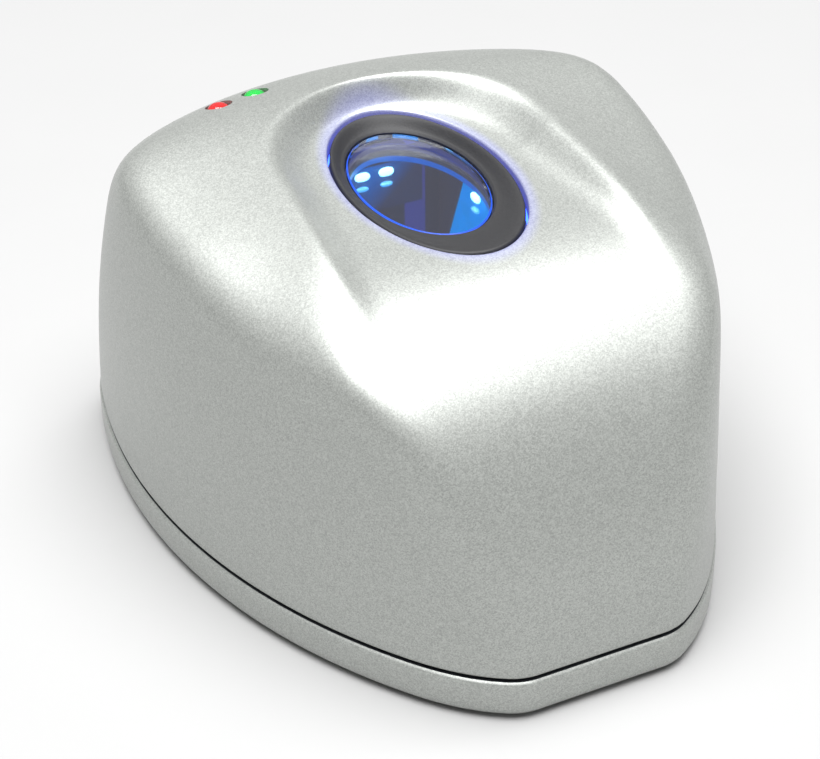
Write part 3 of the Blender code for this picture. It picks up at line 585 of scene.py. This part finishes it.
def rounded(profile, radius, points=5):
    """The open profile with each inner corner rounded off."""
    found = [profile[0]]
    for before, corner, after in zip(profile, profile[1:], profile[2:]):
        before, corner, after = (np.array(p, float) for p in (before, corner, after))
        back, on = before - corner, after - corner
        reach = min(radius, np.linalg.norm(back) / 2, np.linalg.norm(on) / 2)
        start = corner + back / np.linalg.norm(back) * reach
        end = corner + on / np.linalg.norm(on) * reach
        for t in np.linspace(0, 1, points):
            found.append(tuple((1 - t) ** 2 * start + 2 * t * (1 - t) * corner + t * t * end))
    return found + [profile[-1]]


def carve(piece, cutters, operation="DIFFERENCE"):
    """Applies the cuts at once, so no cutter stays in the scene."""
    bpy.context.view_layer.objects.active = piece
    for mesh in cutters:
        tool = bpy.data.objects.new(mesh.name, mesh)
        bpy.context.scene.collection.objects.link(tool)
        change = piece.modifiers.new("cut", "BOOLEAN")
        change.operation = operation
        change.object = tool
        change.solver = "MANIFOLD"
        bpy.ops.object.modifier_apply(modifier=change.name)
        bpy.data.objects.remove(tool, do_unlink=True)
    piece.data.shade_smooth()
    piece.data.set_sharp_from_angle(angle=math.radians(35))


def box_mesh(name, low, high, bevel=0.0, segments=3):
    """A box between two corners, with rounded edges where bevel is given."""
    low, high = Vector(low) * MM, Vector(high) * MM
    mesh = bpy.data.meshes.new(name)
    bm = bmesh.new()
    bmesh.ops.create_cube(bm, size=1)
    bmesh.ops.scale(bm, vec=high - low, verts=bm.verts)
    bmesh.ops.translate(bm, vec=(low + high) / 2, verts=bm.verts)
    if bevel:
        bmesh.ops.bevel(bm, geom=bm.edges[:], offset=bevel * MM, segments=segments,
                        affect="EDGES", profile=0.5)
    bm.to_mesh(mesh)
    bm.free()
    return mesh


def rod_mesh(name, place, radius, bottom, top):
    """An upright cylinder."""
    return turned_mesh(name, place, ((0, top), (radius, top), (radius, bottom), (0, bottom)))


# ---------------------------------------------------------------- casing

def upper_housing():
    """Outer skin with a rounded lower edge and a rolled-in seat, and an inner skin behind it."""
    outline = plan_ring(0, PART_Z)
    inner = outline * (INNER_SCALE, INNER_SCALE, 0)
    rows = []
    for inset, rise in ((0.4, 0.0), (0.16, 0.08), (0.04, 0.22)):
        def field(x, y, z):
            return casing(x, y, z) + inset

        rows.append(surface_along(field, inner + (0, 0, PART_Z + rise), DIRECTIONS))
    rows += skin_rows(0, WALL_ROWS, FAN_ROWS, TOP_ROWS)
    edge = rows[-1][:, 2]
    for grow, drop in ((0.16, 0.06), (0.04, 0.2), (0, 0.45), (0, WALL)):
        row = seat_ring(outline, grow)
        row[:, 2] = edge - drop
        rows.append(row)
    behind = skin_rows(WALL, 8, 12, 16)[::-1]
    foot = behind[-1].copy()
    foot[:, 2] = PART_Z
    mesh = loft_mesh("upper_housing_skin", rows + behind[1:] + [foot], closed=True)
    housing = show("upper_housing_skin", mesh, SILVER_WITH_PAINTED_HALO, "upper_housing", "silver_paint")
    half, low = USB_WIDTH / 2 + USB_SIDE_ROOM, BOARD_Z + BOARD_T + GAP
    slot = (-half, 42.0, low - USB_ROOM), (half, 56.0, low + USB_HEIGHT + USB_ROOM)
    cuts = [rod_mesh(f"{color}_well", place, STATUS_WELL_R, 40.0, 60.0) for color, place in STATUS.items()]
    cuts.append(box_mesh("usb_slot", *slot, 0.6))
    carve(housing, cuts)


def base_housing():
    """Silver-painted tray with a black top and tongue as painted shade for the dark parting gap, and with
    pillars, standoffs and recesses.
    """
    outer = ((1.2, 0.0), (0.35, 0.15), (-0.1, 0.7), (-0.25, 1.5), (-0.25, 5.2), (0.15, 5.5))
    outer = rounded(outer, 0.4, 4)
    rings = [plan_ring(inset, BASE_BOTTOM + rise) for inset, rise in outer]
    tongue = ((3.3, BASE_TOP), (3.3, 8.6), (4.3, 8.6), (4.3, PLATE_TOP))
    rings += [plan_ring(inset, z) for inset, z in tongue]
    # The top and tongue bands take black, as painted shade that darkens the parting gap.
    gap_shade_bands = range(len(outer) - 1, len(rings))
    mesh = loft_mesh("base_housing_tray", rings, second=gap_shade_bands)
    base = show("base_housing_tray", mesh, (SILVER, BLACK), "base_housing", "silver_paint")
    pillar = PILLAR_R, PILLAR_FOOT, PART_Z - GAP
    standoff = STANDOFF_R, STANDOFF_FOOT, BOARD_Z - GAP
    pillars = [rod_mesh("pillar", place, *pillar) for place in HOUSING_SCREWS]
    pillars += [rod_mesh("standoff", place, *standoff) for place in BOARD_SCREWS]
    carve(base, pillars, "UNION")
    cuts = []
    for place in HOUSING_SCREWS:
        cuts.append(rod_mesh("tongue_notch", place, BOSS_R + 0.5, PART_Z - GAP, 12))
        cuts.append(rod_mesh("screw_hole", place, SCREW_HOLE_R, 0, 10))
        cuts.append(rod_mesh("screw_counterbore", place, COUNTERBORE_R, 0, COUNTERBORE_DEPTH))
    cuts += [rod_mesh("standoff_bore", place, STANDOFF_BORE_R, 3.6, 10) for place in BOARD_SCREWS]
    cuts += [rod_mesh("foot_recess", place, FOOT_R + GAP, 0, RECESS_DEPTH) for place in FEET]
    half, depth = LABEL_HALF
    cuts.append(box_mesh("label_recess", (-half, -depth, -2), (half, depth, BASE_BOTTOM + 0.7)))
    carve(base, cuts)


def base_hardware():
    """Rubber feet, and the screws that hold the two shells together."""
    for number, place in enumerate(FEET, 1):
        foot = rounded(((0, 1.3), (FOOT_R, 1.3), (FOOT_R, 0.0), (FOOT_R - 1.4, 0.0),
                        (FOOT_R - 1.8, 0.25), (0, 0.25)), 0.45)
        show(f"rubber_foot_pad_{number}", turned_mesh("rubber_foot_pad", place, foot), RUBBER,
             f"rubber_foot_{number}", "black_rubber")
    for number, place in enumerate(HOUSING_SCREWS, 1):
        head = rounded(((0, 18.0), (1.35, 16.6), (1.35, 3.3), (2.7, 3.3), (2.7, 1.9),
                        (2.0, 1.3), (0, 1.3)), 0.3)
        screw = show(f"housing_screw_head_{number}", turned_mesh("housing_screw_head", place, head),
                     ZINC, f"housing_screw_{number}", "zinc_steel")
        x, y = place
        arms = [box_mesh("recess", (x - a, y - b, 0), (x + a, y + b, 2.4))
                for a, b in ((1.5, 0.3), (0.3, 1.5))]
        carve(screw, arms)


# ---------------------------------------------------------------- window

def band(name, profile, looks, node, slot):
    """A ring round the window, from (size, lift, shift) points that close up."""
    rings = [ellipse_ring(size, lift, OVAL, shift) for size, lift, shift in profile]
    return show(name, loft_mesh(name, rings, closed=True), looks, node, slot)


def between(first, last, part):
    """The pair a given part of the way from first to last."""
    return tuple(np.array(first) * (1 - part) + np.array(last) * part)


def window_stack():
    """Light ring, dished bezel, and glass whose upper edge has a painted blue glow."""
    top = [(between(RING_OUTER, RING_INNER, t), RING_TOP - 0.1 + 0.1 * math.sin(math.pi * t), 0)
           for t in np.linspace(0, 1, 5)]
    band("light_ring_guide", top[::-1] + [(RING_OUTER, RING_BOTTOM, 0), (RING_INNER, RING_BOTTOM, 0)],
         RING_GLOW, "light_ring", "blue_light_guide")
    dish = []
    for t in np.linspace(0, 1, 25):
        size = between(BEZEL_CREST, BEZEL_LIP, t)
        lift = CREST_LIFT + (LIP_LIFT - CREST_LIFT) * (0.35 * t + 0.65 * t * t * (3 - 2 * t))
        dish.append((size, lift, GLASS_SHIFT * t))
    inner = [(BEZEL_INNER, LIP_LIFT - 0.3, GLASS_SHIFT), (BEZEL_INNER, REBATE_TOP, GLASS_SHIFT),
             (BEZEL_REBATE, REBATE_TOP, GLASS_SHIFT), (BEZEL_REBATE, BEZEL_BOTTOM, GLASS_SHIFT)]
    edge = [(BEZEL_OUTER, BEZEL_BOTTOM, 0), (BEZEL_OUTER, CREST_LIFT - 0.35, 0),
            (between(BEZEL_OUTER, BEZEL_CREST, 0.3), CREST_LIFT - 0.12, 0),
            (between(BEZEL_OUTER, BEZEL_CREST, 0.65), CREST_LIFT - 0.03, 0)]
    band("window_bezel_dish", dish + inner + edge, BEZEL, "window_bezel", "black_plastic")
    rim = (GLASS_SIZE[0] - 0.2, GLASS_SIZE[1] - 0.2)
    levels = ((rim, GLASS_BOTTOM), (GLASS_SIZE, GLASS_BOTTOM + 0.2), (GLASS_SIZE, GLASS_TOP - 0.2),
              (rim, GLASS_TOP))
    rings = [ellipse_ring(size, lift, OVAL, GLASS_SHIFT) for size, lift in levels]
    show("platen_glass_lens", loft_mesh("platen_glass_lens", rings, second=(2,)), (GLASS, RIM_GLOW),
         "platen_glass", "optical_glass")


def chassis_box(inset, z):
    """Points on the chassis's rectangle, one for each point of an oval ring."""
    oval = ellipse_ring((1, 1), 0)
    middle = (CHASSIS_FRONT + CHASSIS_REAR) / 2
    half = np.array((CHASSIS_X - inset, (CHASSIS_REAR - CHASSIS_FRONT) / 2 - inset))
    angle = np.arange(OVAL) * 2 * math.pi / OVAL - math.pi / 2
    ray = np.column_stack([np.cos(angle), np.sin(angle)]) * half
    scale = (half / np.maximum(abs(ray), 1e-9)).min(axis=1)
    ray *= scale[:, None]
    return np.column_stack([ray[:, 0], middle + ray[:, 1], np.full(len(oval), z)])


def optics_chassis():
    """Box with an oval opening in its lid. The opening's lower edge has a painted glow, as if it caught
    the light.
    """
    lid = CHASSIS_TOP - CHASSIS_LID

    def opening(z, grow=0.0):
        ring = ellipse_ring((LID_OPENING[0] + grow, LID_OPENING[1] + grow), 0, OVAL, GLASS_SHIFT)
        ring[:, 2] = z
        return ring

    rings = [chassis_box(0, CHASSIS_WAIST), chassis_box(0, CHASSIS_TOP - 0.3),
             chassis_box(0.3, CHASSIS_TOP),
             opening(CHASSIS_TOP, 0.2), opening(CHASSIS_TOP - 0.25), opening(lid + 0.1),
             opening(COLLAR_BOTTOM + 0.1), opening(COLLAR_BOTTOM, 0.15), opening(COLLAR_BOTTOM, 0.45),
             opening(lid, 0.45), chassis_box(CHASSIS_WALL, lid),
             chassis_box(CHASSIS_WALL, CHASSIS_WAIST + CHASSIS_WALL)]
    mesh = loft_mesh("optics_chassis_shell", rings, second=(5, 6))
    show("optics_chassis_shell", mesh, (CHAMBER_PAINTED_GLOW, COLLAR_GLOW), "optics_chassis", "black_plastic", 30)


def lights():
    """A domed lens in place of each blue light's block. The lower row is dimmer."""
    for name in sorted(frame["nodes"]):
        if "_led_" not in name or name.startswith("status"):
            continue
        low, high = (np.array(corner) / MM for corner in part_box(name))
        centre, half = (low + high) / 2, (high - low) / 2
        flat = int(np.argmin(half))
        across = [axis for axis in range(3) if axis != flat]
        rings = []
        for t in np.linspace(-1, 1, 13)[1:-1]:
            swell = (1 - abs(t) ** 2.6) ** (1 / 2.6)
            angle = np.arange(40) * 2 * math.pi / 40
            ring = np.tile(centre, (40, 1))
            ring[:, flat] += t * half[flat]
            for axis, turn in zip(across, (np.cos(angle), np.sin(angle))):
                ring[:, axis] += swell * half[axis] * np.sign(turn) * abs(turn) ** 0.8
            rings.append(ring)
        look = LED if high[2] > COLLAR_BOTTOM - 1 else DIM_LED
        show(f"{name}_lens", loft_mesh(f"{name}_lens", rings), look, name, "blue_led")


# ---------------------------------------------------------------- status lights

def status_lights():
    """Red and green domed lenses, standing just above the casing."""
    top = STATUS_BOARD_Z + 1.0
    for color, look in (("red", RED), ("green", GREEN)):
        place = STATUS[color]
        crown = float(top_height(*place)) + STATUS_DOME
        dome = [(STATUS_LENS_R * math.sin(turn), crown - 1.1 + 1.1 * math.cos(turn))
                for turn in np.linspace(0, math.pi / 2, 14)]
        profile = [(0, crown)] + dome[1:] + [(STATUS_LENS_R, top + 1.4), (0, top + 1.4)]
        show(f"status_lens_dome_{color}", turned_mesh("status_lens_dome", place, profile), look,
             f"status_lens_{color}", f"{color}_lens")


# ---------------------------------------------------------------- carried nodes

CARRIED = (
    ("light_board", BOARD), ("main_board", BOARD), ("status_board_screw", ZINC), ("status_board", BOARD),
    ("board_screw", ZINC), ("chip", CHIP), ("image_sensor", CHIP), ("clock_crystal", TIN),
    ("power_capacitor", TIN), ("cable_socket", SOCKET), ("_cable", FILM), ("usb_socket", TIN),
    ("usb_tongue", SOCKET), ("lens_holder", BLACK), ("lens_barrel", BLACK), ("camera_lens", GLASS),
    ("status_led", LED), ("platen_gasket", RUBBER), ("rating_label", LABEL), ("ballast_plate", PLATE),
)


def finish_carried():
    """Gives each node that is shown as it is a finish with detail."""
    looks = {"right_light_board": SIDE_BOARD_PAINTED_GLOW, "left_light_board": SIDE_BOARD_PAINTED_GLOW, "rear_light_board": REAR_BOARD}
    for name, node in frame["nodes"].items():
        for part, look in CARRIED:
            if part in name:
                looks.setdefault(name, look)
                break
        if name in looks:
            node.data.materials.clear()
            node.data.materials.append(looks[name])


# ---------------------------------------------------------------- stage

WORLD_STRENGTH, SOFTBOX_POWER = 0.27, 26
CAMERA_AZIMUTH, CAMERA_ELEVATION = math.radians(-25.39), math.radians(34.06)
CAMERA_ROLL = -0.0101
CAMERA_DISTANCE, CAMERA_RIGHT, CAMERA_UP = 321.3, -2.338, 14.889
CAMERA_LENS = 98.82


def add_camera():
    """Camera turned and tilted round the origin, then moved across its own view."""
    turn, tilt = CAMERA_AZIMUTH, CAMERA_ELEVATION
    back = Vector((math.sin(turn) * math.cos(tilt), -math.cos(turn) * math.cos(tilt), math.sin(tilt)))
    right = Vector((math.cos(turn), math.sin(turn), 0))
    up = back.cross(right)
    place = (right * CAMERA_RIGHT + up * CAMERA_UP + back * CAMERA_DISTANCE) * MM
    cosine, sine = math.cos(CAMERA_ROLL), math.sin(CAMERA_ROLL)
    across, above = right * cosine + up * sine, up * cosine - right * sine
    data = bpy.data.cameras.new("camera")
    data.sensor_fit = "HORIZONTAL"
    data.sensor_width = 36
    data.lens = CAMERA_LENS
    data.clip_start = 0.01
    camera = bpy.data.objects.new("camera", data)
    frame_axes = Matrix((across, above, back)).transposed().to_4x4()
    camera.matrix_world = Matrix.Translation(place) @ frame_axes
    bpy.context.scene.collection.objects.link(camera)
    bpy.context.scene.camera = camera


def softbox(name, place, aim, size, power):
    """A rectangular area light that faces aim. Its lengths are in metres."""
    data = bpy.data.lights.new(name, "AREA")
    data.shape = "RECTANGLE"
    data.size, data.size_y = size
    data.energy = power
    light = bpy.data.objects.new(name, data)
    light.location = place
    light.rotation_euler = (Vector(aim) - Vector(place)).to_track_quat("-Z", "Y").to_euler()
    bpy.context.scene.collection.objects.link(light)


def add_stage():
    """Pale floor, even surroundings and one large soft light above."""
    mesh = bpy.data.meshes.new("floor")
    bm = bmesh.new()
    bmesh.ops.create_grid(bm, x_segments=1, y_segments=1, size=2.5)
    bm.to_mesh(mesh)
    bm.free()
    floor = bpy.data.objects.new("floor", mesh)
    mesh.materials.append(FLOOR)
    bpy.context.scene.collection.objects.link(floor)
    world = bpy.data.worlds.new("studio")
    world.use_nodes = True
    world.node_tree.nodes["Background"].inputs["Color"].default_value = (1, 1, 1, 1)
    world.node_tree.nodes["Background"].inputs["Strength"].default_value = WORLD_STRENGTH
    bpy.context.scene.world = world
    softbox("overhead", (-0.05, -0.1, 1.0), (0, 0, 0), (0.9, 0.9), SOFTBOX_POWER)
    bpy.context.scene.view_settings.view_transform = "Standard"


def main():
    upper_housing()
    base_housing()
    base_hardware()
    window_stack()
    optics_chassis()
    lights()
    status_lights()
    finish_carried()
    add_camera()
    add_stage()


main()
